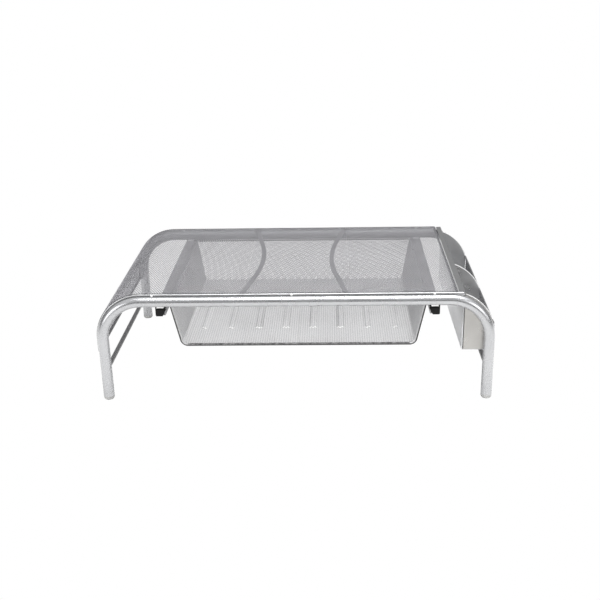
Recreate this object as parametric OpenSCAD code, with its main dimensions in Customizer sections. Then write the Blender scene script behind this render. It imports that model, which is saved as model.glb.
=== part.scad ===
// Monitor riser stand.
// Two bent tube frames carry a wire-rimmed mesh deck. A mesh drawer hangs in two
// runners under the deck, and a two-pocket sheet-metal bin fills the right end.
// X runs left to right, Y front to back and Z up. The origin is on the table, at
// the middle of the four feet.

/* [Frame] */
// Distance between the centre lines of the left and right legs
leg_span = 494; // [480:2:510]
// Distance between the centre lines of the front and rear tubes
tube_span = 278; // [270:2:286]
// Height of the top of the tubes
tube_top = 142.9; // [140:0.1:150]
// Outer diameter of the frame tube
tube_d = 14; // [13:0.5:15]
// Wall thickness of the frame tube
tube_wall = 1.2; // [1:0.1:1.6]
// Centre-line radius of the tube bends
bend_r = 52; // [48:1:55]
// Height of the foot that shows below the tube
foot_h = 4.6; // [4:0.2:6]
// Height of the side brace rods
brace_z = 40; // [30:1:50]
// Diameter of the side brace rods
brace_d = 6; // [4:0.5:7]

/* [Deck] */
// Diameter of the rim wires that edge the mesh
rim_d = 2.2; // [1.8:0.1:2.4]
// How far the deck's rim wires lie behind the tubes' crowns, in degrees
rim_turn = 20; // [0:1:25]
// Thickness of the mesh sheets
mesh_t = 0.4; // [0.3:0.1:0.6]
// Height of the lower edge of the deck mesh, where it hangs down at the left
hem_z = 66; // [60:1:72]
// Diameter of the hem wire along that lower edge
hem_d = 3.6; // [3:0.2:4.2]
// Distance from the middle to the narrowest point of a deck stiffener
stiffener_x = 47.5; // [40:0.5:55]
// Width of the deck stiffener strips
stiffener_w = 6; // [5:0.5:8]

/* [Drawer] */
// How far the drawer sits to the right of the middle
drawer_x = 3.5; // [0:0.5:6]
// Outside width of the drawer across its floor
drawer_floor_w = 303; // [290:1:310]
// Lean of the drawer's side walls from upright, in degrees
side_lean = 12.4; // [10:0.2:14]
// Lean of the drawer's back wall from upright, in degrees
back_lean = 17.8; // [14:0.2:20]
// Front edge of the drawer behind the middle of the stand
drawer_front_y = -119; // [-122:1:-110]
// Back of the drawer's floor behind the middle of the stand
drawer_back_y = 125; // [118:0.5:126]
// Height of the underside of the drawer's floor
drawer_floor_z = 67.8; // [66:0.2:72]
// Thickness of the drawer's mesh
drawer_t = 0.8; // [0.6:0.1:1]
// Number of pressed ribs in the drawer's floor
rib_count = 8; // [4:1:8]
// Distance from one rib to the next
rib_pitch = 37; // [32:0.5:38]

/* [Bin] */
// Distance from the middle to the outer face of the bin's left wall
bin_x = 213.4; // [208:0.2:216]
// Height of the underside of the bin
bin_z = 64; // [60:0.5:72]
// Distance of the bin's divider from the middle, front to back
divider_y = -20; // [-40:1:40]
// Thickness of the bin's sheet metal
bin_t = 0.8; // [0.6:0.1:1.2]
// Height of the upper edge of the bin's outer mesh wall
side_mesh_top = 101; // [96:1:110]

/* [Hidden] */

$fn = 64;
eps = 0.02;                     // sliver that keeps cutting faces apart
seat = 0.05;                    // hair gap between pieces that are welded or pressed together
over = 1;                       // how far a cutting tool runs past what it cuts

// Frame
leg_x = leg_span / 2;
tube_y = tube_span / 2;
tube_r = tube_d / 2;
tube_z = tube_top - tube_r;     // height of the top stretch's centre line
bend_x = leg_x - bend_r;        // centre of the right-hand bend
bend_z = tube_z - bend_r;
foot_round = 2.4;               // rounding round the foot's lower edge
plug_h = 12;                    // depth of the foot's plug inside the tube
plug_r = tube_r - tube_wall - seat;

// Rim wires and mesh, which wrap the outside of the bends
mesh_over = 0.8;                // mesh that runs past the centre line of a rim wire
rim_reach = tube_r + seat + rim_d / 2;
rim_r = bend_r + rim_reach * cos(rim_turn);
rim_front = rim_reach * sin(rim_turn) - tube_y;
rim_rear = rim_front + tube_span;
mesh_r = rim_r + rim_d / 2 + seat;
wire_front = rim_front + rim_d / 2 + seat;     // between the rim wires
wire_rear = rim_rear - rim_d / 2 - seat;
deck_z = bend_z + mesh_r + mesh_t;
flange_w = 6;                   // width of the bin wall's top flange
flange_gap = 2;                 // gap between the flange and the deck mesh
deck_end_x = bin_x - flange_w - flange_gap;

// Outer wall of the bin: a flat mesh between the right legs, on a frame of wire
side_x = leg_x + tube_r + 0.2;  // outer face of the mesh
side_wire_x = side_x - mesh_t - seat - rim_d / 2;
side_rim_y = tube_y - sqrt(pow(rim_reach, 2) - pow(side_wire_x - leg_x, 2));
side_wire_y = side_rim_y - rim_d / 2 - seat;

// Stiffeners
stiffener_r = 380;
stiffener_arc = 10.6;           // half of the curved stretch, in degrees
stiffener_tail = 80;            // straight ends before they are trimmed
stiffener_t = 1.6;
stiffener_z = bend_z + mesh_r - seat - stiffener_t;

// Weld beads
bead_x = [-180, -3, 176];
bead_r = 1.5;
bead_y = 0.7;                   // behind the tube's crown
bead_z = tube_top + 0.25;

// Runners: offsets across the stand are from the drawer's middle, outwards
runner_in = 166.5;
runner_out = 179.4;
runner_lip = 167.4;
runner_t = 0.9;
runner_top = tube_top - tube_d - seat;
runner_low = runner_top - 11.6;
slot_low = runner_top - 2.55;   // top edge of the lip that the drawer hangs on
runner_front = -139;
runner_rear = tube_y + tube_r - 2.4;
cap_t = 2.35;
cap_plug = 8;
cap_gap = 0.1;                  // play between a cap's plug and its runner
cap_lap = 0.2;                  // cap's lap round the outside of its runner
cap_drop = 0.4;                 // cap's depth below its runner
cap_chamfer = 1;
cap_slant = 4.5;                // how far the cap's inner side runs in at its foot
cap_slot_h = 1.5;
runner_bead = [9, 10, 2.4];

// Drawer
fold_r = 9;                     // outer radius where the floor turns up
drawer_top = slot_low + 0.1;
back_top = drawer_top - 0.7;
hem_front_d = 3.6;
hem_front_y = drawer_front_y - hem_front_d / 2 - seat;
hem_root = 0.3;                 // how deep the hem's uprights are let into its corners
flange_t = 0.8;
flange_out = 177.5;
flange_end = runner_rear - 0.6;
back_rim_d = 2.4;
rib_w = 8;
rib_h = 1.6;
rib_front = -69;
rib_rear = 76;
stop_size = [4, 20, 6];
stop_in = 172;
stop_y = 54;
floor_half = drawer_floor_w / 2;

// Bin
panel_r = bend_r + tube_r + 1;  // the panels' round tops stand just proud of the tubes
bin_y = tube_y - tube_r - seat;
bin_out = side_wire_x - rim_d / 2 - seat;
panel_gap = 1.5;
return_w = 8;

function arc_points(cx, cy, r, a0, a1, n) =
    [for (k = [0 : n]) let (a = a0 + (a1 - a0) * k / n) [cx + r * cos(a), cy + r * sin(a)]];

// Half of a sheet profile that runs along a floor and turns up a leaning wall.
// edge is the wall's foot on the floor's underside, inset is measured into the sheet.
function fold_points(edge, lean, inset, top) =
    let (cx = edge + fold_r * tan(lean) - fold_r / cos(lean),
         cz = drawer_floor_z + fold_r,
         x_top = edge + (top - drawer_floor_z) * tan(lean) - inset / cos(lean))
    concat(arc_points(cx, cz, fold_r - inset, -90, -lean, 8), [[x_top, top]]);

function mirrored(points) = [for (k = [len(points) - 1 : -1 : 0]) [-points[k][0], points[k][1]]];

module x_rod(x0, x1, y, z, d) {
    translate([x0, y, z]) rotate([0, 90, 0]) cylinder(d = d, h = x1 - x0);
}

module y_rod(x, z, y0, y1, d) {
    translate([x, y0, z]) rotate([-90, 0, 0]) cylinder(d = d, h = y1 - y0);
}

// Extrudes a profile drawn in X and Z from y0 to y1
module along_y(y0, y1) {
    translate([0, y1, 0]) rotate([90, 0, 0]) linear_extrude(y1 - y0) children();
}

// Quarter bend in the X-Z plane, from upright at the outside to level at the top
module bend(y, r, d) {
    translate([bend_x, y, bend_z]) rotate([90, 0, 0])
        rotate_extrude(angle = 90) translate([r, 0]) circle(d = d);
}

// U-shaped bar of diameter d: two legs from z0 up, two bends and the top stretch
module frame_bar(y, d, z0) {
    for (side = [0, 1]) mirror([side, 0, 0]) {
        translate([leg_x, y, z0]) cylinder(d = d, h = bend_z - z0);
        bend(y, bend_r, d);
    }
    x_rod(-bend_x, bend_x, y, tube_z, d);
}

module frame_tube(y) {
    color("gainsboro") difference() {
        frame_bar(y, tube_d, foot_h);
        frame_bar(y, tube_d - 2 * tube_wall, foot_h - over);
    }
}

module foot(x, y) {
    color("darkgray") translate([x, y, 0]) rotate_extrude() {
        translate([0, foot_round]) square([tube_r, foot_h - foot_round - seat]);
        square([tube_r - foot_round, foot_round + eps]);
        intersection() {
            translate([tube_r - foot_round, foot_round]) circle(r = foot_round);
            square([tube_r, foot_h]);
        }
        square([plug_r, foot_h + plug_h]);
    }
}

module leg_cutters(x) {
    for (y = [-tube_y, tube_y])
        translate([x, y, 0]) cylinder(r = tube_r + seat, h = tube_top);
}

module brace_rod(x) {
    color("gainsboro") difference() {
        y_rod(x, brace_z, -tube_y, tube_y, brace_d);
        leg_cutters(x);
    }
}

module deck_rim(y) {
    color("gainsboro") {
        mirror([1, 0, 0]) {
            translate([bend_x + rim_r, y, hem_z]) cylinder(d = rim_d, h = bend_z - hem_z);
            bend(y, rim_r, rim_d);
        }
        x_rod(-bend_x, bin_x - over, y, bend_z + rim_r, rim_d);
    }
}

// Wire along the lower edge of the hanging mesh, coped round the two left legs
module left_hem_wire() {
    color("gainsboro") difference() {
        y_rod(hem_d / 2 + seat - bend_x - mesh_r, hem_z + hem_d / 2, wire_front, wire_rear, hem_d);
        leg_cutters(-leg_x);
    }
}

// Wire under the right-hand end of the deck mesh, coped over the rear tube
module right_deck_wire() {
    color("gainsboro") difference() {
        y_rod(deck_end_x - rim_d / 2, bend_z + rim_r, wire_front, wire_rear, rim_d);
        x_rod(0, leg_x, tube_y, tube_z, tube_d + 2 * seat);
    }
}

// Mesh profile that climbs from the hem and follows the bend
module wrap_profile() {
    translate([bend_x + mesh_r, hem_z]) square([mesh_t, bend_z - hem_z]);
    translate([bend_x, bend_z]) intersection() {
        difference() {
            circle(r = mesh_r + mesh_t, $fn = 180);
            circle(r = mesh_r, $fn = 180);
        }
        square(2 * mesh_r);
    }
}

module deck_mesh() {
    color("silver") along_y(rim_front - mesh_over, rim_rear + mesh_over) {
        mirror([1, 0]) wrap_profile();
        translate([-bend_x, bend_z + mesh_r]) square([bend_x + deck_end_x, mesh_t]);
    }
}

// Curved strip under the deck, bowed towards the middle; trimmed at the rim wires
module stiffener() {
    color("darkgray") intersection() {
        translate([stiffener_x + stiffener_r, 0, stiffener_z]) mirror([1, 0, 0]) {
            rotate([0, 0, -stiffener_arc]) rotate_extrude(angle = 2 * stiffener_arc, $fn = 360)
                translate([stiffener_r - stiffener_w / 2, 0]) square([stiffener_w, stiffener_t]);
            for (end = [0, 1]) mirror([0, end, 0]) rotate([0, 0, stiffener_arc])
                translate([stiffener_r - stiffener_w / 2, 0, 0])
                    cube([stiffener_w, stiffener_tail, stiffener_t]);
        }
        translate([0, wire_front, 0]) cube([leg_x, wire_rear - wire_front, 2 * tube_top]);
    }
}

// Beads in the groove between the rim wires and the tubes
module deck_weld_beads() {
    color("white") for (x = bead_x) for (y = [-tube_y, tube_y]) difference() {
        translate([x, y + bead_y, bead_z]) sphere(r = bead_r, $fn = 32);
        x_rod(-leg_x, leg_x, y, tube_z, tube_d + 2 * seat);
        x_rod(-leg_x, leg_x, y + tube_y + rim_front, bend_z + rim_r, rim_d + 2 * seat);
    }
}

module side_rim(y) {
    color("gainsboro") translate([side_wire_x, y, bin_z])
        cylinder(d = rim_d, h = side_mesh_top - bin_z);
}

module side_wire(z) {
    color("gainsboro") y_rod(side_wire_x, z, -side_wire_y, side_wire_y, rim_d);
}

module side_mesh() {
    color("silver") translate([side_x - mesh_t, -side_rim_y - mesh_over, bin_z])
        cube([mesh_t, 2 * (side_rim_y + mesh_over), side_mesh_top - bin_z]);
}

// Wall of the bin with the flange that lies level with the deck
module bin_left_wall() {
    color("lightgray") {
        translate([bin_x, -bin_y, bin_z]) cube([bin_t, 2 * bin_y, deck_z - bin_z]);
        translate([bin_x - flange_w, wire_front, deck_z - bin_t])
            cube([flange_w + bin_t, wire_rear - wire_front, bin_t]);
    }
}

module bin_floor() {
    color("lightgray") translate([bin_x + bin_t + seat, -bin_y, bin_z])
        cube([bin_out - bin_x - bin_t - seat, 2 * bin_y, bin_t]);
}

// Panel across the bin with its front face at y, a round top that follows the bend
// and a return along its inner edge that runs to the back
module bin_panel(y, gap) {
    x0 = bin_x + bin_t + gap;
    low = bin_z + bin_t + seat;
    high = bend_z + panel_r * sin(acos((x0 - bend_x) / panel_r)) - over;
    along_y(y, y + bin_t) intersection() {
        translate([bend_x, bend_z]) circle(r = panel_r, $fn = 180);
        translate([x0, low]) square([bin_out - x0, tube_top]);
    }
    translate([x0, y, low]) cube([bin_t, return_w, high - low]);
}

module bin_front_panel() {
    color("lightgray") bin_panel(-bin_y, panel_gap);
}

module bin_rear_panel() {
    color("darkgray") mirror([0, 1, 0]) bin_panel(-bin_y, panel_gap);
}

module bin_divider() {
    color("darkgray") bin_panel(divider_y, seat);
}

module runner_profile() {
    polygon([[runner_in, runner_top], [runner_out, runner_top], [runner_out, runner_low],
             [runner_lip, runner_low], [runner_lip, slot_low], [runner_lip + runner_t, slot_low],
             [runner_lip + runner_t, runner_low + runner_t],
             [runner_out - runner_t, runner_low + runner_t],
             [runner_out - runner_t, runner_top - runner_t], [runner_in, runner_top - runner_t]]);
}

// Places a right-hand drawer part on the right (side = 0) or on the left (side = 1)
module drawer_side(side) {
    translate([drawer_x, 0, 0]) mirror([side, 0, 0]) children();
}

module runner(side) {
    color("gray") drawer_side(side) along_y(runner_front, runner_rear) runner_profile();
}

// Fillets that hold the runners to the undersides of the tubes
module runner_weld_beads() {
    middle = (runner_in + runner_out) / 2;
    color("gainsboro") for (side = [0, 1]) for (end = [0, 1]) drawer_side(side) mirror([0, end, 0])
        difference() {
            translate([middle - runner_bead[0] / 2, tube_y - runner_bead[1] / 2, runner_top + seat])
                cube(runner_bead);
            x_rod(0, leg_x, tube_y, tube_z, tube_d + 2 * seat);
            translate([0, tube_y + tube_r - cap_t, 0]) cube([leg_x, tube_r, tube_top]);
        }
}

// Plastic cap on a runner's end. The front one is slotted, so the drawer's flange
// can pass it; the rear one is closed, and stops the drawer.
module cap_profile(slotted) {
    low = runner_low - cap_drop;
    inner = runner_in - cap_lap;
    outer = runner_out + cap_lap;
    slot_z = slot_low - cap_gap;
    difference() {
        polygon([[inner, runner_top], [outer, runner_top], [outer, low + cap_chamfer],
                 [outer - cap_chamfer, low], [inner + cap_slant, low], [inner, slot_z - cap_chamfer]]);
        if (slotted)
            translate([inner - over, slot_z])
                square([flange_out - inner + 2 * over, cap_slot_h]);
    }
}

module cap(side, slotted) {
    inner = runner_lip + runner_t + cap_gap;
    color("dimgray") drawer_side(side) mirror([0, slotted ? 0 : 1, 0]) {
        face = slotted ? runner_front - seat : -runner_rear - seat;
        along_y(face - cap_t + seat, face) cap_profile(slotted);
        translate([inner, face - eps, runner_low + runner_t + cap_gap])
            cube([runner_out - runner_t - cap_gap - inner, cap_plug,
                  slot_low - runner_low - runner_t - 3 * cap_gap]);
    }
}

// Drawer: cross-section with leaning sides, met at the rear by the leaning back
module tray_section(inset, top) {
    right = fold_points(floor_half, side_lean, inset, top);
    polygon(concat(right, mirrored(right)));
}

module tray_length(inset, front, top) {
    back = fold_points(drawer_back_y, back_lean, inset, top);
    polygon(concat([[front, drawer_floor_z + inset]], back, [[front, top]]));
}

module tray_solid(inset, front, top) {
    intersection() {
        along_y(front, 2 * tube_y) tray_section(inset, top);
        translate([-leg_x, 0, 0]) rotate([90, 0, 90]) linear_extrude(2 * leg_x)
            tray_length(inset, front, top);
    }
}

module drawer_rib(x) {
    translate([x, 0, drawer_floor_z + drawer_t - eps]) {
        translate([-rib_w / 2, rib_front + rib_w / 2, 0])
            cube([rib_w, rib_rear - rib_front - rib_w, rib_h]);
        for (y = [rib_front + rib_w / 2, rib_rear - rib_w / 2])
            translate([0, y, 0]) cylinder(d = rib_w, h = rib_h);
    }
}

module drawer_tray() {
    color("silver") translate([drawer_x, 0, 0]) {
        difference() {
            tray_solid(0, drawer_front_y, drawer_top);
            tray_solid(drawer_t, drawer_front_y - over, drawer_top + over);
            translate([-leg_x, drawer_back_y + fold_r, back_top]) cube([2 * leg_x, tube_y, tube_r]);
        }
        for (k = [0 : rib_count - 1]) drawer_rib((k - (rib_count - 1) / 2) * rib_pitch);
    }
}

// Wire hem round the drawer's open front
module drawer_front_hem() {
    mid_r = fold_r - drawer_t / 2;
    cx = floor_half + fold_r * tan(side_lean) - fold_r / cos(side_lean);
    cz = drawer_floor_z + fold_r;
    rise = (drawer_top - cz - mid_r * sin(-side_lean)) / cos(side_lean);
    color("gainsboro") translate([drawer_x, hem_front_y, 0]) {
        x_rod(-cx, cx, 0, cz - mid_r, hem_front_d);
        for (side = [0, 1]) mirror([side, 0, 0]) translate([cx, 0, cz]) {
            rotate([90, 0, 0]) rotate([0, 0, -90]) rotate_extrude(angle = 90 - side_lean)
                translate([mid_r, 0]) circle(d = hem_front_d);
            rotate([0, side_lean, 0]) translate([mid_r, 0, -hem_root])
                cylinder(d = hem_front_d - 2 * seat, h = rise + hem_root);
        }
    }
}

function back_rim_y() =
    drawer_back_y + (back_top - drawer_floor_z) * tan(back_lean) - drawer_t / 2;

module drawer_back_rim() {
    half = floor_half + (back_top - drawer_floor_z) * tan(side_lean) - over;
    z = back_top + back_rim_d / 2 + seat;
    color("gainsboro")
        x_rod(drawer_x - half, drawer_x + half, back_rim_y(), z, back_rim_d);
}

module drawer_flange(side) {
    inner = floor_half + (drawer_top - drawer_floor_z) * tan(side_lean) - drawer_t;
    color("gainsboro") drawer_side(side) translate([inner, drawer_front_y, drawer_top + seat])
        cube([flange_out - inner, flange_end - drawer_front_y, flange_t]);
}

// Blocks under the flanges that meet the front caps when the drawer is fully out
module drawer_stops() {
    color("dimgray") for (side = [0, 1]) drawer_side(side)
        translate([stop_in, stop_y, drawer_top - stop_size[2]]) cube(stop_size);
}

frame_tube(-tube_y);  // front_frame_tube
frame_tube(tube_y);  // rear_frame_tube
foot(-leg_x, -tube_y);  // front_left_foot
foot(leg_x, -tube_y);  // front_right_foot
foot(-leg_x, tube_y);  // rear_left_foot
foot(leg_x, tube_y);  // rear_right_foot
brace_rod(-leg_x);  // left_brace_rod
brace_rod(leg_x);  // right_brace_rod
deck_rim(rim_front);  // front_deck_rim
deck_rim(rim_rear);  // rear_deck_rim
left_hem_wire();
right_deck_wire();
deck_mesh();
mirror([1, 0, 0]) stiffener();  // left_stiffener
stiffener();  // right_stiffener
deck_weld_beads();
side_rim(-side_rim_y);  // side_front_rim
side_rim(side_rim_y);  // side_rear_rim
side_wire(side_mesh_top - rim_d / 2);  // side_top_wire
side_wire(bin_z + rim_d / 2);  // side_hem_wire
side_mesh();
bin_left_wall();
bin_floor();
bin_front_panel();
bin_rear_panel();
bin_divider();
runner(1);  // left_runner
runner(0);  // right_runner
runner_weld_beads();
cap(1, true);  // left_front_cap
cap(0, true);  // right_front_cap
cap(1, false);  // left_rear_cap
cap(0, false);  // right_rear_cap
drawer_tray();
drawer_front_hem();
drawer_back_rim();
drawer_flange(1);  // drawer_left_flange
drawer_flange(0);  // drawer_right_flange
drawer_stops();
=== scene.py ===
"""Looks of the monitor riser stand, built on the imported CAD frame."""

import math

import bpy
import numpy as np
from mathutils import Matrix, Vector


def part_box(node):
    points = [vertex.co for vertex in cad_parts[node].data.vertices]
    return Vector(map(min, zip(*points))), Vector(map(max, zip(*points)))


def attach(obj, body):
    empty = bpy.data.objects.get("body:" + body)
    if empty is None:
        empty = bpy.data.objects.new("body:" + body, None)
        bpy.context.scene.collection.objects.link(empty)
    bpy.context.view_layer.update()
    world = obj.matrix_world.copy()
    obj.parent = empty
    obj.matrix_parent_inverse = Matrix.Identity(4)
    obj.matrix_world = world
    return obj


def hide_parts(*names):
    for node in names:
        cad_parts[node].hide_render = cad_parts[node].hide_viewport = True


MM = 0.001

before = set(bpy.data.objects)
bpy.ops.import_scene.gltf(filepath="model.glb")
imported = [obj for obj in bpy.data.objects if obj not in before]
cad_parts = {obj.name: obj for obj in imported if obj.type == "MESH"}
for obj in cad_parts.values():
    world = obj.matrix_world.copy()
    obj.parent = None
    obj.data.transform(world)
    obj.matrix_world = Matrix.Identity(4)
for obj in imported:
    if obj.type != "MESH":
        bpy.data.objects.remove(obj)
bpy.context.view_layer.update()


def box_mm(node):
    return tuple([c / MM for c in corner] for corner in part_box(node))


# Sizes in millimetres, in the frame of the part -----------------------------------
DECK_LOW, DECK_HIGH = box_mm("deck_mesh")
SIDE_LOW, SIDE_HIGH = box_mm("side_mesh")
TRAY_LOW, TRAY_HIGH = box_mm("drawer_tray")
TUBE_TOP = box_mm("front_frame_tube")[1][2]

# Deck: the mesh hangs at the left, goes over the bend and runs along the top
BEND_X = 195.0                    # centre of the frame's bends
CAD_MESH_HALF = 0.2               # half of the CAD mesh's thickness
DECK_R = -DECK_LOW[0] - BEND_X - CAD_MESH_HALF      # middle of the mesh round the bend
BEND_Z = DECK_HIGH[2] - CAD_MESH_HALF - DECK_R
HEM_Z = DECK_LOW[2]               # lower edge of the mesh that hangs at the left
DECK_END_X = DECK_HIGH[0]
UPRIGHT = BEND_Z - HEM_Z
ARC = DECK_R * math.pi / 2
DECK_RUN = UPRIGHT + ARC + BEND_X + DECK_END_X      # length of the whole sheet
DECK_CUTS = (130.0, 265.0)        # where the top is cut into pieces, counted from the bend
FRONT_INSET = 1.7                 # the mesh begins this far behind the CAD mesh's front edge
REAR_OVERHANG = 0.8               # and ends this far past its rear edge
DECK_SPAN = (DECK_LOW[1] + FRONT_INSET, DECK_HIGH[1] + REAR_OVERHANG)
HAIR = 1e-6                       # keeps a face that lies on a cut in one piece only

# Flattened cut edges of the mesh, near-black as painted shade of the gaps along them
EDGE_T, EDGE_W = 0.36, 2.0        # thickness and width
EDGE_INSET = (0.9, 1.6)           # middle of the strip from the mesh's front and rear edges
EDGE_END = 0.5                    # what the strips leave free at their ends
RIGHT_EDGE_W = 0.8                # at the deck's right end
BACK_EDGE_W = 1.3                 # along the top of the drawer's back
BACK_EDGE_INSET = 0.7             # middle of that strip from the sheet's edge
BACK_EDGE_END = 1.0
EDGE_POINTS = dict(hang=4, bend=40, top=30, right=40, back=30)

# Bin
SIDE_X = SIDE_HIGH[0] - CAD_MESH_HALF
SIDE_INSET = (0.8, 1.2)           # how far inside the CAD mesh the wall's ends, in Z and Y
SHEET_T = 0.8                     # thickness of the CAD sheets, and of the CAD tray
HEM_ROLL = 0.7                    # radius of the rolled edges on the bin's panels
HEM_POINTS = 24

# Drawer
TRAY_X = 3.5                      # middle of the drawer
TRAY_FLOOR = TRAY_LOW[2] + SHEET_T / 2
TRAY_FRONT = TRAY_LOW[1]
SIDE_CORNER, BACK_CORNER = 151.18, 124.71   # where floor and wall would meet without a fold
SIDE_LEAN, BACK_LEAN = 12.4, 17.8           # degrees that the walls lean out
BACK_DROP = 0.7                   # how much lower than the sides the back ends
ROUND, CRISP = 8.6, 3.0           # radius of the folds at the drawer's front and elsewhere
FOLD_EASE = (-112.0, -70.0)       # where the one turns into the other, front to back
FOLD_MARGIN = 5.0                 # how far inside the corners the floor is cut from the walls
RIBS = 8
RIB_PITCH = 37.0
RIB_ENDS = (-65.0, 72.0)
RIB_R = 4.5                       # half width at the foot
RIB_H = 1.9
RIB_SIDE = 1.6                    # width of a rib's sloping side

# Expanded mesh: pitch across and along, half lands at the knuckles, thickness, tilt
DECK_MESH = dict(pitch=(3.3, 6.0), land=(0.28, 0.62), t=0.38, tilt=(0.10, 0.0))
TRAY_MESH = dict(pitch=(6.1, 3.05), land=(0.54, 0.20), t=0.30, tilt=(0.0, 0.10))

# Painted shade: at the wire on the tube's crown, on the bin's inner wall, and on the drawer's hem
SEAM_SHADE_DEPTH = (0.30, 0.12)         # how far under the tube's top the painted shade by the wire begins and is full
SEAM_SHADE_RAGGED = 0.12
WALL_SHADE_HEIGHTS = (90.0, 120.0)        # heights between which painted shade sets in on the bin's inner wall
FLANGE_BAND = 1.3                 # height of the painted shade band at the top of the bin's inner wall
FLANGE_FADE = 0.2                 # height over which that band sets in
HEM_SHADE_FACING = (-0.10, 0.15)          # how far the hem's surface faces away where painted shade sets in and is full

# Studio, in metres ----------------------------------------------------------------
FLOOR_REACH = 40.0
FLOOR_SINK = 0.0002               # the floor lies this far under the feet
FLOOR_FADE = (0.5, 1.5)           # distance from the stand over which the painted pool of light on the floor fades
FLOOR_NEAR = (0.78, 0.778, 0.77, 1.0)
FLOOR_FAR = (0.20, 0.20, 0.20, 1.0)
WORLD_RISE = (0.0, 0.95)          # sine of the elevation over which the studio brightens
WORLD_LOW, WORLD_HIGH = 0.176, 0.76
WHITE = (1.0, 1.0, 1.0, 1.0)

SOFTBOXES = {
    "overhead": dict(place=(0.25, -0.35, 1.75), target=(0.0, 0.0, 0.1), size=(1.8, 0.8), watts=32.0),
    "left": dict(place=(-1.3, -1.0, 0.45), target=(0.0, -0.1, 0.05), size=(0.9, 0.8), watts=5.5),
    "right": dict(place=(1.3, -0.9, 0.60), target=(0.0, -0.1, 0.05), size=(0.9, 0.8), watts=5.0),
}

CAMERA_PLACE = (0.0485, -1.2102, 0.5595)
CAMERA_TURN = (-2.19, 21.52, -1.24)         # degrees to the right, down, and of roll
CAMERA_LENS, CAMERA_SENSOR = 54.98, 36.0    # millimetres
CAMERA_NEAR = 0.05


# Node trees -----------------------------------------------------------------------
class Tree:
    """A short way to write the node tree of a material or a world."""

    def __init__(self, owner, coords="Object"):
        owner.use_nodes = True
        self.owner = owner
        self.tree = owner.node_tree
        self.tree.nodes.clear()
        self.coords = self.add("ShaderNodeTexCoord").outputs[coords]

    def add(self, kind, **settings):
        node = self.tree.nodes.new(kind)
        for key, value in settings.items():
            setattr(node, key, value)
        return node

    def link(self, a, b):
        self.tree.links.new(a, b)

    def put(self, value, socket):
        if isinstance(value, bpy.types.NodeSocket):
            self.link(value, socket)
        else:
            socket.default_value = value

    def axes(self, vector=None):
        node = self.add("ShaderNodeSeparateXYZ")
        self.link(vector or self.coords, node.inputs["Vector"])
        return node.outputs

    def stretch(self, scale):
        node = self.add("ShaderNodeMapping")
        self.link(self.coords, node.inputs["Vector"])
        node.inputs["Scale"].default_value = scale
        return node.outputs["Vector"]

    def noise(self, scale, detail=2.0, rough=0.5, vector=None):
        node = self.add("ShaderNodeTexNoise")
        self.link(vector or self.coords, node.inputs["Vector"])
        node.inputs["Scale"].default_value = scale
        node.inputs["Detail"].default_value = detail
        node.inputs["Roughness"].default_value = rough
        return node.outputs["Fac"]

    def remap(self, value, low, high, to_low=0.0, to_high=1.0):
        """A smooth step: to_low up to low, and to_high from high on."""
        node = self.add("ShaderNodeMapRange", interpolation_type="SMOOTHSTEP")
        self.put(value, node.inputs["Value"])
        node.inputs["From Min"].default_value = low
        node.inputs["From Max"].default_value = high
        node.inputs["To Min"].default_value = to_low
        node.inputs["To Max"].default_value = to_high
        return node.outputs["Result"]

    def math(self, operation, a, b=0.0):
        node = self.add("ShaderNodeMath", operation=operation)
        self.put(a, node.inputs[0])
        self.put(b, node.inputs[1])
        return node.outputs["Value"]

    def mix(self, fac, a, b):
        node = self.add("ShaderNodeMix", data_type="RGBA")
        self.put(fac, node.inputs["Factor"])
        self.put(a, node.inputs["A"])
        self.put(b, node.inputs["B"])
        return node.outputs["Result"]

    def bump(self, height, depth, strength=1.0, after=None):
        node = self.add("ShaderNodeBump")
        self.put(height, node.inputs["Height"])
        node.inputs["Distance"].default_value = depth
        node.inputs["Strength"].default_value = strength
        if after is not None:
            self.link(after, node.inputs["Normal"])
        return node.outputs["Normal"]

    def shader(self, color, metallic, roughness, normal, **more):
        node = self.add("ShaderNodeBsdfPrincipled")
        self.put(color, node.inputs["Base Color"])
        self.put(metallic, node.inputs["Metallic"])
        self.put(roughness, node.inputs["Roughness"])
        self.link(normal, node.inputs["Normal"])
        for key, value in more.items():
            self.put(value, node.inputs[key.replace("_", " ")])
        out = self.add("ShaderNodeOutputMaterial")
        self.link(node.outputs["BSDF"], out.inputs["Surface"])
        return self.owner


# Materials: noise scales are per metre, tones multiply the material's own colour --
DRIFT_SCALE = 18.0                # slow change of tone over a part
DRIFT_EDGES = (0.32, 0.68)
FLAKE_SCALE, FLAKE_TONE, FLAKE_SHARE = 700.0, 1.12, 0.12
SMUDGE_SCALE, SMUDGE_TONE, SMUDGE_ROUGH = 24.0, 0.55, 0.6
# Tone of the painted shade in the tube's crown seam and on the bin's inner wall
SHADE_TONE = 0.30
HEM_SHADE_TONE = 0.07                   # painted shade on the drawer's hem, where it faces down or outward
# Painted shade where the deck mesh lies over the rear tube, and how much less metallic and rougher the
# coat is there
MESH_SHADE_TONE, DULL_METAL, DULL_ROUGH = 0.65, 0.45, 0.33
SHEEN_SCALE = 60.0                # slow change of roughness
SHEEN_EDGES = (0.3, 0.7)
PEEL_DEPTH, PEEL_STRENGTH = 0.00003, 0.05   # orange peel, in metres
FLAKE_DEPTH, FLAKE_STRENGTH = 0.000004, 0.1
DUST = (0.5, 0.5, 0.48, 1.0)


def shade(color, factor):
    return tuple(min(1.0, c * factor) for c in color) + (1.0,)


def drift(t, color, mottle):
    """The coat's own colour, a little darker here and lighter there."""
    where = t.remap(t.noise(DRIFT_SCALE, 3.0), *DRIFT_EDGES)
    return t.mix(where, shade(color, 1 - mottle), shade(color, 1 + mottle))


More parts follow.
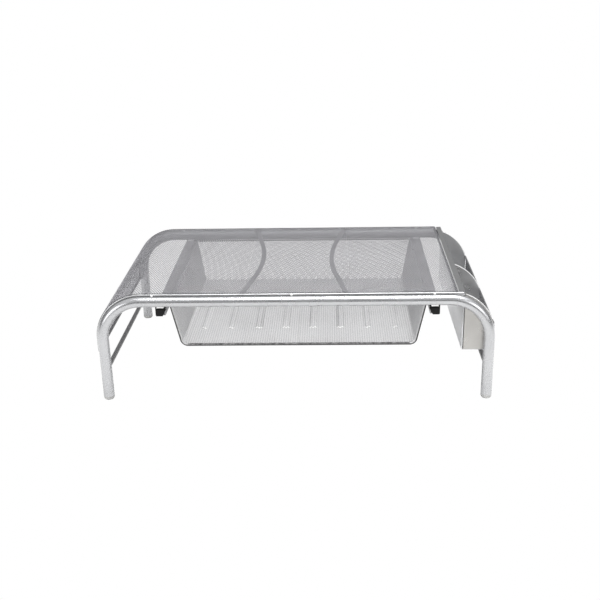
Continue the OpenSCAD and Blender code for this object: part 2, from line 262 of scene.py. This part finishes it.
def silver_coat(name, color, metallic, roughness, peel, mottle=0.03, dirt=0.05, painted_shade=None, shade_and_dull=None):
    """Silver powder coat: slow tone drift, fine flakes, orange peel and smudges.

    The last two arguments are functions: the first says where shade is painted on the coat, the second
    where shade is painted and the coat is also duller and less metallic.
    """
    t = Tree(bpy.data.materials.new(name))
    base = drift(t, color, mottle)
    flakes = t.noise(FLAKE_SCALE, 1.0)
    base = t.mix(t.remap(flakes, 0.35, 0.65, 0.0, FLAKE_SHARE), base, shade(color, FLAKE_TONE))
    smudge = t.remap(t.noise(SMUDGE_SCALE, 3.0, 0.5), 0.5, 0.85, 0.0, dirt)
    base = t.mix(smudge, base, shade(color, SMUDGE_TONE))
    if painted_shade is not None:
        base = t.mix(painted_shade(t), base, shade(color, SHADE_TONE))
    rough = t.remap(t.noise(SHEEN_SCALE, 2.0), *SHEEN_EDGES, roughness - 0.03, roughness + 0.05)
    rough = t.math("ADD", rough, t.math("MULTIPLY", smudge, SMUDGE_ROUGH))
    if shade_and_dull is not None:
        shaded_dull = shade_and_dull(t)
        base = t.mix(shaded_dull, base, shade(color, MESH_SHADE_TONE))
        metallic = t.math("SUBTRACT", metallic, t.math("MULTIPLY", shaded_dull, DULL_METAL))
        rough = t.math("ADD", rough, t.math("MULTIPLY", shaded_dull, DULL_ROUGH))
    peel_normal = t.bump(t.noise(peel, 2.0), PEEL_DEPTH, PEEL_STRENGTH)
    normal = t.bump(flakes, FLAKE_DEPTH, FLAKE_STRENGTH, peel_normal)
    return t.shader(base, metallic, rough, normal)


def crown_seam_shade(t):
    """Painted shade on the tube's crown, in the crevice along the wire that lies on it, as far as the
    deck goes.
    """
    place = t.axes()
    out = t.math("MAXIMUM", t.math("SUBTRACT", t.math("ABSOLUTE", place["X"]), BEND_X * MM), 0.0)
    up = t.math("MAXIMUM", t.math("SUBTRACT", place["Z"], BEND_Z * MM), 0.0)
    radius = t.math("SQRT", t.math("ADD", t.math("MULTIPLY", out, out), t.math("MULTIPLY", up, up)))
    radius = t.math("ADD", radius, t.math("MULTIPLY", t.noise(300.0), SEAM_SHADE_RAGGED * MM))
    low, high = ((TUBE_TOP - BEND_Z - depth) * MM for depth in SEAM_SHADE_DEPTH)
    within = t.math("LESS_THAN", place["X"], DECK_END_X * MM)
    return t.math("MULTIPLY", t.remap(radius, low, high), within)


def mesh_shade_on_tube(t):
    """Painted shade where the deck mesh lies over the rear tube, with a duller, less metallic coat there.
    """
    place = t.axes()
    within = t.math("LESS_THAN", place["X"], DECK_END_X * MM)
    return t.math("MULTIPLY", t.remap(place["Z"], HEM_Z * MM, BEND_Z * MM), within)


def wall_shade(t):
    """Painted shade on the bin's inner wall: none low down, more higher up under the deck, and most on
    its flange.
    """
    height = t.axes()["Z"]
    low, high = (z * MM for z in WALL_SHADE_HEIGHTS)
    flange = (DECK_HIGH[2] - FLANGE_BAND) * MM
    wall = t.remap(height, low, high, 0.0, 0.45)
    band = t.remap(height, flange, flange + FLANGE_FADE * MM, 0.0, 0.95)
    return t.math("MAXIMUM", wall, band)


def hem_coat(name, color):
    """Silver coat on the drawer's hem, with painted shade and less gloss along its underside and outer
    sides.
    """
    t = Tree(bpy.data.materials.new(name))
    place = t.axes()
    turn = t.axes(t.add("ShaderNodeTexCoord").outputs["Normal"])
    side = t.math("SIGN", t.math("SUBTRACT", place["X"], TRAY_X * MM))
    outward = t.math("MULTIPLY", turn["X"], side)
    downward = t.math("MULTIPLY", turn["Z"], -1.0)
    ragged = t.math("MULTIPLY", t.noise(220.0), 0.15)
    away = t.math("ADD", t.math("MAXIMUM", outward, downward), ragged)
    hem_shade = t.remap(away, *HEM_SHADE_FACING)
    base = t.mix(hem_shade, drift(t, color, 0.03), shade(color, HEM_SHADE_TONE))
    hem_unshaded = t.math("SUBTRACT", 1.0, hem_shade)
    rough = t.remap(t.noise(SHEEN_SCALE, 2.0), *SHEEN_EDGES, 0.3, 0.4)
    normal = t.bump(t.noise(420.0, 2.0), PEEL_DEPTH, 0.06)
    return t.shader(base, t.math("MULTIPLY", hem_unshaded, 0.6), rough, normal,
                    Specular_IOR_Level=t.math("MULTIPLY", hem_unshaded, 0.5))


def runner_coat(name, color):
    """Drawn runner metal: fine lines along the run, rubbed brighter by the drawer."""
    t = Tree(bpy.data.materials.new(name))
    lines = t.noise(260.0, 3.0, 0.6, t.stretch((6.0, 0.25, 6.0)))
    base = t.mix(t.remap(lines, 0.35, 0.65), shade(color, 0.88), shade(color, 1.12))
    rub = t.remap(t.noise(45.0, 4.0, 0.6, t.stretch((1.0, 0.3, 1.0))), 0.55, 0.72, 0.0, 0.5)
    base = t.mix(rub, base, shade(color, 1.6))
    rough = t.remap(lines, 0.3, 0.7, 0.36, 0.5)
    return t.shader(base, 0.7, rough, t.bump(lines, 0.00004, 0.4))


def plastic(name, color, roughness, grain, dust, gloss=0.5):
    """Moulded plastic with a fine spark-eroded grain and a little dust."""
    t = Tree(bpy.data.materials.new(name))
    tone = t.remap(t.noise(90.0, 3.0), 0.35, 0.65)
    base = t.mix(tone, shade(color, 0.9), shade(color, 1.12))
    specks = t.remap(t.noise(420.0, 5.0, 0.7), 0.62, 0.75, 0.0, dust)
    base = t.mix(specks, base, DUST)
    fine = t.noise(grain, 2.0)
    rough = t.remap(fine, 0.3, 0.7, roughness - 0.06, roughness + 0.08)
    return t.shader(base, 0.0, rough, t.bump(fine, 0.00008, 0.4), Specular_IOR_Level=gloss)


# Colour, metallic, roughness and peel scale, and mottle and dirt where they are given
TUBE_SILVER = (0.56, 0.565, 0.58)
TUBE_COAT = silver_coat("tube_coat", TUBE_SILVER, 0.85, 0.25, 420.0, painted_shade=crown_seam_shade)
REAR_COAT = silver_coat("rear_tube_coat", TUBE_SILVER, 0.85, 0.25, 420.0, painted_shade=crown_seam_shade,
                        shade_and_dull=mesh_shade_on_tube)
WIRE_COAT = silver_coat("wire_coat", (0.62, 0.625, 0.635), 0.70, 0.30, 700.0)
ROD_COAT = silver_coat("rod_coat", (0.25, 0.25, 0.255), 0.70, 0.34, 700.0)
# Near-white copy of the wire coat: painted highlight on the panels' rolled edges and the drawer's back
# rim
HIGHLIGHT_WIRE = silver_coat("highlight_wire", (0.90, 0.90, 0.90), 0.30, 0.34, 700.0)
MESH_COAT = silver_coat("mesh_coat", (0.41, 0.405, 0.43), 0.60, 0.42, 420.0, 0.04, 0.06)
# Dark all over: painted shade of the bin's outer mesh wall, which lies in the bin's shadow
SHADED_SIDE_COAT = silver_coat("shaded_side_coat", (0.20, 0.20, 0.21), 0.55, 0.45, 420.0, 0.04, 0.06)
# Near-black: painted shade of the gaps at the mesh's cut edges, along the right-hand deck wire and at the
# drawer's back
EDGE_SHADE_COAT = silver_coat("edge_shade_coat", (0.10, 0.10, 0.105), 0.50, 0.50, 420.0, 0.04, 0.06)
TRAY_COAT = silver_coat("tray_coat", (0.57, 0.57, 0.58), 0.30, 0.42, 420.0, 0.04, 0.06)
PANEL_COAT = silver_coat("panel_coat", (0.49, 0.48, 0.465), 0.80, 0.30, 420.0, 0.03, 0.08)
SHEET_COAT = silver_coat("sheet_coat", (0.51, 0.513, 0.52), 0.80, 0.30, 420.0, 0.03, 0.08)
STRIP_COAT = silver_coat("strip_coat", (0.34, 0.34, 0.35), 0.60, 0.42, 900.0)
WALL_COAT = silver_coat("flange_coat", (0.84, 0.845, 0.86), 0.70, 0.34, 420.0, 0.03, 0.08,
                        painted_shade=wall_shade)
BEAD_COAT = silver_coat("bead_coat", (0.95, 0.95, 0.95), 0.10, 0.34, 600.0, 0.04, 0.10)
HEM_COAT = hem_coat("hem_coat", (0.70, 0.70, 0.705))
RUNNER_COAT = runner_coat("runner_coat", (0.50, 0.50, 0.51))
BLACK_PLASTIC = plastic("black_plastic", (0.006, 0.006, 0.0065), 0.50, 1500.0, 0.03, 0.25)
FOOT_PLASTIC = plastic("foot_plastic", (0.46, 0.46, 0.455), 0.50, 1200.0, 0.12)

CAD_MATERIALS = {
    "front_frame_tube": TUBE_COAT, "rear_frame_tube": REAR_COAT,
    "left_brace_rod": ROD_COAT, "right_brace_rod": ROD_COAT,
    "front_deck_rim": WIRE_COAT, "rear_deck_rim": WIRE_COAT,
    "left_hem_wire": ROD_COAT, "right_deck_wire": EDGE_SHADE_COAT,
    "side_front_rim": WIRE_COAT, "side_rear_rim": WIRE_COAT,
    "side_top_wire": ROD_COAT, "side_hem_wire": WIRE_COAT,
    "drawer_front_hem": HEM_COAT, "drawer_back_rim": HIGHLIGHT_WIRE,
    "left_stiffener": STRIP_COAT, "right_stiffener": STRIP_COAT,
    "deck_weld_beads": BEAD_COAT, "runner_weld_beads": BEAD_COAT,
    "bin_left_wall": WALL_COAT, "bin_floor": SHEET_COAT, "bin_front_panel": PANEL_COAT,
    "bin_rear_panel": SHEET_COAT, "bin_divider": SHEET_COAT,
    "drawer_left_flange": WIRE_COAT, "drawer_right_flange": WIRE_COAT,
    "left_runner": RUNNER_COAT, "right_runner": RUNNER_COAT,
    "left_front_cap": BLACK_PLASTIC, "right_front_cap": BLACK_PLASTIC,
    "left_rear_cap": BLACK_PLASTIC, "right_rear_cap": BLACK_PLASTIC,
    "drawer_stops": BLACK_PLASTIC,
    "front_left_foot": FOOT_PLASTIC, "front_right_foot": FOOT_PLASTIC,
    "rear_left_foot": FOOT_PLASTIC, "rear_right_foot": FOOT_PLASTIC,
}


def finish_cad_nodes():
    for name, material in CAD_MATERIALS.items():
        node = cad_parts[name]
        node.data.materials.clear()
        node.data.materials.append(material)


# Expanded mesh --------------------------------------------------------------------
def lattice(u_range, v_range, spec):
    """Corners of the diamond holes and the faces between them, in sheet coordinates.

    Holes sit where i + j is odd, and knuckles where it is even. Returns the corners as
    u, v and offset, and the quads: one for each knuckle, and one for each of the two
    strands that leave it towards higher v.
    """
    land, tilt = spec["land"], spec["tilt"]
    half_u, half_v = (pitch / 2 for pitch in spec["pitch"])
    i0, i1 = math.floor(u_range[0] / half_u) - 1, math.ceil(u_range[1] / half_u) + 1
    j0, j1 = math.floor(v_range[0] / half_v) - 1, math.ceil(v_range[1] / half_v) + 1
    i, j = np.meshgrid(np.arange(i0, i1 + 1), np.arange(j0, j1 + 1), indexing="ij")
    columns = j1 - j0 + 1
    cell = np.arange(i.size).reshape(i.shape)
    right, left, top, bottom = range(4)
    step = {right: (half_u - land[0], 0.0, -tilt[0]), left: (land[0] - half_u, 0.0, tilt[0]),
            top: (0.0, half_v - land[1], -tilt[1]), bottom: (0.0, land[1] - half_v, tilt[1])}
    corners = np.zeros((i.size, 4, 3))
    for corner, (du, dv, dn) in step.items():
        corners[:, corner, 0] = i.ravel() * half_u + du
        corners[:, corner, 1] = j.ravel() * half_v + dv
        corners[:, corner, 2] = dn

    knuckle = ((i + j) % 2 == 0)
    knuckle[[0, -1], :] = False
    knuckle[:, [0, -1]] = False
    at = cell[knuckle]

    def corner(cells, which):
        return cells * 4 + which

    knuckles = np.stack([corner(at - columns, right), corner(at - 1, top),
                         corner(at + columns, left), corner(at + 1, bottom)], 1)
    rising = np.stack([corner(at + columns, left), corner(at + columns, top),
                       corner(at + 1, right), corner(at + 1, bottom)], 1)
    falling = np.stack([corner(at - columns, right), corner(at + 1, bottom),
                        corner(at + 1, left), corner(at - columns, top)], 1)
    return corners.reshape(-1, 3), np.concatenate([knuckles, rising, falling])


def sheet_mesh(name, sheet, surface, spec, u_range, v_range, keep, material, body, node):
    """Makes one closed piece of expanded mesh on a surface.

    sheet is a lattice. surface(u, v) gives points and normals in millimetres, and
    keep(u, v) says which faces belong to this piece, by their middles.
    """
    corners, faces = sheet
    middle = corners[faces].mean(1)
    u, v = middle[:, 0], middle[:, 1]
    faces = faces[keep(u, v) & (u >= u_range[0]) & (u <= u_range[1])
                  & (v >= v_range[0]) & (v <= v_range[1])]
    used, packed = np.unique(faces, return_inverse=True)
    faces = packed.reshape(faces.shape)
    points, normals = surface(corners[used, 0], corners[used, 1])
    lift = corners[used, 2][:, None]
    upper = points + normals * (lift + spec["t"] / 2)
    lower = points + normals * (lift - spec["t"] / 2)
    count = len(used)

    edges = np.stack([faces, np.roll(faces, -1, 1)], 2).reshape(-1, 2)
    key = np.sort(edges, 1)
    _, first, times = np.unique(key[:, 0] * count + key[:, 1], return_index=True, return_counts=True)
    rim = edges[first[times == 1]]
    walls = np.stack([rim[:, 1], rim[:, 0], rim[:, 0] + count, rim[:, 1] + count], 1)
    quads = np.concatenate([faces, faces[:, ::-1] + count, walls])
    return mesh_object(name, np.concatenate([upper, lower]) * MM, quads, material, body, node)


def mesh_object(name, points, quads, material, body, node):
    mesh = bpy.data.meshes.new(name)
    mesh.vertices.add(len(points))
    mesh.vertices.foreach_set("co", points.astype(np.float32).ravel())
    mesh.loops.add(quads.size)
    mesh.loops.foreach_set("vertex_index", quads.astype(np.int32).ravel())
    mesh.polygons.add(len(quads))
    mesh.polygons.foreach_set("loop_start", np.arange(0, quads.size, 4, dtype=np.int32))
    mesh.update(calc_edges=True)
    mesh.validate()
    mesh.materials.append(material)
    piece = bpy.data.objects.new(name, mesh)
    bpy.context.scene.collection.objects.link(piece)
    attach(piece, body)
    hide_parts(node)
    return piece


def stack(x, y, z):
    return np.stack(np.broadcast_arrays(x, y, z), 1).astype(float)


def deck_surface(u, v):
    """u climbs from the left hem, over the bend and along the top; v runs to the back."""
    turn = np.clip((u - UPRIGHT) / DECK_R, 0.0, math.pi / 2)
    rise = np.minimum(u - UPRIGHT, 0.0)
    run = np.maximum(u - UPRIGHT - ARC, 0.0)
    x = -BEND_X - DECK_R * np.cos(turn) + run
    z = BEND_Z + DECK_R * np.sin(turn) + rise
    return stack(x, v, z), stack(-np.cos(turn), 0.0, np.sin(turn))


def side_surface(u, v):
    """Flat outer wall of the bin: u climbs from its lower edge, v runs to the front."""
    return stack(SIDE_X, -v, SIDE_LOW[2] + u), stack(1.0, 0.0 * u, 0.0)


def everywhere(u, v):
    return np.ones(len(u), bool)


def build_deck():
    sheet = lattice((0.0, DECK_RUN), DECK_SPAN, DECK_MESH)
    top = UPRIGHT + ARC
    cuts = [0.0, top, *(top + cut for cut in DECK_CUTS), DECK_RUN]
    names = ["deck_mesh_wrap", "deck_mesh_left", "deck_mesh_middle", "deck_mesh_right"]
    for name, low, high in zip(names, cuts, cuts[1:]):
        sheet_mesh(name, sheet, deck_surface, DECK_MESH, (low, high - HAIR), DECK_SPAN,
                   everywhere, MESH_COAT, "stand", "deck_mesh")


def edge_strip(name, surface, path, across, width, material, body, node):
    """Flattened cut edge of a mesh: a closed strip along a path of (u, v) points.

    across is the direction of its width, as a step in u and v.
    """
    middle = np.array(path, float)
    offset = np.array(across, float) * width / 2
    points, count = [], len(middle)
    for shift in (-1, 1):
        at, normals = surface(*(middle + shift * offset).T)
        points += [at + normals * EDGE_T / 2, at - normals * EDGE_T / 2]
    ring = np.arange(count - 1)
    rows = [k * count for k in (0, 2, 3, 1)]         # round the strip's section
    quads = [np.stack([ring + a, ring + a + 1, ring + b + 1, ring + b], 1)
             for a, b in zip(rows, rows[1:] + rows[:1])]
    ends = np.array([rows[::-1], [row + count - 1 for row in rows]])
    return mesh_object(name, np.concatenate(points) * MM, np.concatenate([*quads, ends]),
                       material, body, node)


def build_deck_edges():
    """The mesh's cut edges, crimped on the rim wires and on the right-hand wire, near-black as painted
    shade of the gaps there.
    """
    bend, top, end = UPRIGHT, UPRIGHT + ARC, DECK_RUN
    along = np.concatenate([np.linspace(EDGE_END, bend, EDGE_POINTS["hang"]),
                            np.linspace(bend, top, EDGE_POINTS["bend"])[1:],
                            np.linspace(top, end - EDGE_END, EDGE_POINTS["top"])[1:]])
    front, rear = DECK_SPAN[0] + EDGE_INSET[0], DECK_SPAN[1] - EDGE_INSET[1]
    for name, v in (("deck_front_edge", front), ("deck_rear_edge", rear)):
        path = [(u, v) for u in along]
        edge_strip(name, deck_surface, path, (0, 1), EDGE_W, EDGE_SHADE_COAT, "stand", "deck_mesh")
    right = [(end - RIGHT_EDGE_W / 2, v) for v in np.linspace(*DECK_SPAN, EDGE_POINTS["right"])]
    edge_strip("deck_right_edge", deck_surface, right, (-1, 0), RIGHT_EDGE_W, EDGE_SHADE_COAT,
               "stand", "deck_mesh")


def build_side_wall():
    height = SIDE_HIGH[2] - SIDE_LOW[2]
    sheet = lattice((0.0, height), (SIDE_LOW[1], SIDE_HIGH[1]), DECK_MESH)
    inset_u, inset_v = SIDE_INSET
    sheet_mesh("side_mesh_wall", sheet, side_surface, DECK_MESH, (inset_u, height - inset_u),
               (SIDE_LOW[1] + inset_v, SIDE_HIGH[1] - inset_v), everywhere, SHADED_SIDE_COAT,
               "stand", "side_mesh")


def rolled_edge(name, path):
    """A round bead along a path of points, as a capped curve, in the near-white wire coat that paints a
    highlight.
    """
    curve = bpy.data.curves.new(name, "CURVE")
    curve.dimensions = "3D"
    curve.bevel_depth = HEM_ROLL * MM
    curve.bevel_resolution = 3
    curve.use_fill_caps = True
    spline = curve.splines.new("POLY")
    spline.points.add(len(path) - 1)
    for point, place in zip(spline.points, path):
        point.co = (*(c * MM for c in place), 1.0)
    curve.materials.append(HIGHLIGHT_WIRE)
    piece = bpy.data.objects.new(name, curve)
    bpy.context.scene.collection.objects.link(piece)
    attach(piece, "stand")


def build_panel_hems():
    """Rolled edges along the round tops of the bin's panels."""
    for name, node, face in (("front_panel_hem", "bin_front_panel", "front"),
                             ("divider_hem", "bin_divider", "front"),
                             ("rear_panel_hem", "bin_rear_panel", "rear")):
        low, high = box_mm(node)
        y = low[1] + SHEET_T / 2 if face == "front" else high[1] - SHEET_T / 2
        radius = math.hypot(low[0] - BEND_X, high[2] - BEND_Z)
        first = math.acos((low[0] + HEM_ROLL - BEND_X) / radius)
        last = math.acos((high[0] - HEM_ROLL - BEND_X) / radius)
        rolled_edge(name, [(BEND_X + radius * math.cos(turn), y, BEND_Z + radius * math.sin(turn))
                           for turn in np.linspace(first, last, HEM_POINTS)])


# Drawer ---------------------------------------------------------------------------
class Wall:
    """A leaning wall that the drawer's floor turns up into, on both sides of the middle."""

    def __init__(self, corner, lean, top):
        self.corner, self.lean, self.top = corner, math.radians(lean), top
        self.turned = math.pi / 2 - self.lean

    def start(self, radius):
        """How far out the fold begins."""
        return self.corner - radius * math.tan(self.turned / 2)

    def follow(self, d, radius):
        """d is measured along the sheet from the middle. Returns the distance out, the
        height, and how far the inner side's normal points out and up."""
        start, out = self.start(radius), np.abs(d)
        turn = np.clip((out - start) / radius, 0.0, self.turned)
        climb = np.maximum(out - start - radius * self.turned, 0.0)
        reach = np.minimum(out, start) + radius * np.sin(turn) + climb * math.sin(self.lean)
        height = TRAY_FLOOR + radius * (1 - np.cos(turn)) + climb * math.cos(self.lean)
        return reach, height, -np.sin(turn), np.cos(turn)

    def length(self, radius):
        """Length of the sheet from the middle to the wall's top."""
        straight = (self.top - TRAY_FLOOR) / math.cos(self.lean) + self.corner
        return straight - radius * (2 * math.tan(self.turned / 2) - self.turned)

    def reach(self, z, radius):
        """How far out the folded sheet is at height z."""
        turn = np.arccos(np.clip(1 - (z - TRAY_FLOOR) / radius, math.sin(self.lean), 1.0))
        climb = np.maximum(z - TRAY_FLOOR - radius * (1 - math.sin(self.lean)), 0.0)
        return self.start(radius) + radius * np.sin(turn) + climb * math.tan(self.lean)


SIDE_WALL = Wall(SIDE_CORNER, SIDE_LEAN, TRAY_HIGH[2])
BACK_WALL = Wall(BACK_CORNER, BACK_LEAN, TRAY_HIGH[2] - BACK_DROP)


def smooth(x):
    return x * x * (3 - 2 * x)


def fold_radius(y):
    """The side folds are round at the drawer's front and turn crisp behind it."""
    front, behind = FOLD_EASE
    return ROUND + (CRISP - ROUND) * smooth(np.clip((y - front) / (behind - front), 0.0, 1.0))


def rib_height(x, y):
    """Height of the pressed ribs over the floor."""
    height = np.zeros(len(x))
    along = np.clip(y, *RIB_ENDS)
    for k in range(RIBS):
        away = np.hypot(x - (k - (RIBS - 1) / 2) * RIB_PITCH, y - along)
        ramp = np.clip((RIB_R - away) / RIB_SIDE, 0.0, 1.0)
        height = np.maximum(height, RIB_H * smooth(ramp))
    return height


def tray_surface(u, v):
    """Floor and side walls: u across the sheet from the middle, v to the back."""
    reach, height, outward, upward = SIDE_WALL.follow(u, fold_radius(v))
    side = np.sign(u)
    press = rib_height(u, v)
    return stack(TRAY_X + side * reach, v, height + press), stack(side * outward, 0.0, upward)


def tray_back_surface(u, v):
    """Back wall: the floor's sheet turned up at the rear."""
    reach, height, outward, upward = BACK_WALL.follow(v, CRISP)
    return stack(TRAY_X + u, reach, height), stack(0.0, outward, upward)


def ahead_of_back(u, v):
    height = SIDE_WALL.follow(u, fold_radius(v))[1]
    return (v <= BACK_WALL.reach(height, CRISP)) & (height < SIDE_WALL.top)


def between_sides(u, v):
    height = BACK_WALL.follow(v, CRISP)[1]
    return np.abs(u) <= SIDE_WALL.reach(height, CRISP)


def build_tray():
    half, deep = SIDE_WALL.length(CRISP), BACK_WALL.length(CRISP)
    edge, rear = SIDE_CORNER - FOLD_MARGIN, BACK_CORNER - FOLD_MARGIN
    sheet = lattice((-half, half), (TRAY_FRONT, deep), TRAY_MESH)
    spans = {"tray_left_wall": (-half, -edge), "tray_floor_left": (-edge, 0.0),
             "tray_floor_right": (0.0, edge), "tray_right_wall": (edge, half)}
    for name, (low, high) in spans.items():
        sheet_mesh(name, sheet, tray_surface, TRAY_MESH, (low, high - HAIR), (TRAY_FRONT, deep),
                   ahead_of_back, TRAY_COAT, "drawer", "drawer_tray")
    sheet_mesh("tray_back_wall", sheet, tray_back_surface, TRAY_MESH, (-half, half), (rear, deep),
               between_sides, TRAY_COAT, "drawer", "drawer_tray")
    # The strip along the back wall's top is near-black: painted shade of the gap under the drawer's back
    # rim.
    reach = SIDE_WALL.reach(BACK_WALL.top, CRISP) - BACK_EDGE_END
    across = np.linspace(-reach, reach, EDGE_POINTS["back"])
    edge_strip("tray_back_edge", tray_back_surface, [(u, deep - BACK_EDGE_INSET) for u in across],
               (0, 1), BACK_EDGE_W, EDGE_SHADE_COAT, "drawer", "drawer_tray")


# Stage, lights and camera ---------------------------------------------------------
def build_floor():
    """White to the camera; for the light it gives back, a painted pool of light, white near the stand
    only.
    """
    mesh = bpy.data.meshes.new("floor")
    reach = FLOOR_REACH
    mesh.from_pydata([(-reach, -reach, 0), (reach, -reach, 0), (reach, reach, 0), (-reach, reach, 0)],
                     [], [(0, 1, 2, 3)])
    floor = bpy.data.objects.new("floor", mesh)
    floor.location.z = -FLOOR_SINK
    bpy.context.scene.collection.objects.link(floor)
    t = Tree(bpy.data.materials.new("floor_paint"))
    away = t.add("ShaderNodeVectorMath", operation="LENGTH")
    t.link(t.coords, away.inputs[0])
    fade = t.remap(away.outputs["Value"], *FLOOR_FADE)
    paint = t.add("ShaderNodeBsdfDiffuse")
    t.put(t.mix(fade, FLOOR_NEAR, FLOOR_FAR), paint.inputs["Color"])
    glow = t.add("ShaderNodeEmission")
    path = t.add("ShaderNodeLightPath")
    seen = t.add("ShaderNodeMixShader")
    t.link(path.outputs["Is Camera Ray"], seen.inputs["Fac"])
    t.link(paint.outputs["BSDF"], seen.inputs[1])
    t.link(glow.outputs["Emission"], seen.inputs[2])
    out = t.add("ShaderNodeOutputMaterial")
    t.link(seen.outputs["Shader"], out.inputs["Surface"])
    mesh.materials.append(t.owner)


def build_world():
    """Studio that is bright overhead and dims towards the horizon; white to the camera."""
    world = bpy.data.worlds.new("studio")
    bpy.context.scene.world = world
    t = Tree(world, "Generated")
    light = t.remap(t.axes()["Z"], *WORLD_RISE, WORLD_LOW, WORLD_HIGH)
    path = t.add("ShaderNodeLightPath")
    shown = t.add("ShaderNodeMix", data_type="FLOAT")
    t.link(path.outputs["Is Camera Ray"], shown.inputs["Factor"])
    t.link(light, shown.inputs["A"])
    shown.inputs["B"].default_value = 1.0
    back = t.add("ShaderNodeBackground")
    back.inputs["Color"].default_value = WHITE
    t.link(shown.outputs["Result"], back.inputs["Strength"])
    out = t.add("ShaderNodeOutputWorld")
    t.link(back.outputs["Background"], out.inputs["Surface"])


def build_softbox(name, place, target, size, watts):
    light = bpy.data.lights.new(name, "AREA")
    light.shape = "RECTANGLE"
    light.size, light.size_y = size
    light.energy = watts
    lamp = bpy.data.objects.new(name, light)
    lamp.location = place
    lamp.rotation_euler = (Vector(target) - Vector(place)).to_track_quat("-Z", "Y").to_euler()
    bpy.context.scene.collection.objects.link(lamp)


def build_camera():
    yaw, pitch, roll = (math.radians(turn) for turn in CAMERA_TURN)
    forward = Vector((math.sin(yaw) * math.cos(pitch), math.cos(yaw) * math.cos(pitch), -math.sin(pitch)))
    right = Vector((math.cos(yaw), -math.sin(yaw), 0.0))
    up = right.cross(forward)
    rolled_right = right * math.cos(roll) + up * math.sin(roll)
    rolled_up = up * math.cos(roll) - right * math.sin(roll)
    data = bpy.data.cameras.new("camera")
    data.sensor_width = CAMERA_SENSOR
    data.lens = CAMERA_LENS
    data.dof.use_dof = False
    data.clip_start = CAMERA_NEAR
    camera = bpy.data.objects.new("camera", data)
    turn = Matrix((rolled_right, rolled_up, -forward)).transposed()
    camera.matrix_world = Matrix.Translation(CAMERA_PLACE) @ turn.to_4x4()
    bpy.context.scene.collection.objects.link(camera)
    bpy.context.scene.camera = camera


finish_cad_nodes()
build_deck()
build_deck_edges()
build_side_wall()
build_panel_hems()
build_tray()
build_floor()
build_world()
for name, box in SOFTBOXES.items():
    build_softbox(name, **box)
build_camera()

bpy.context.scene.view_settings.view_transform = "Standard"
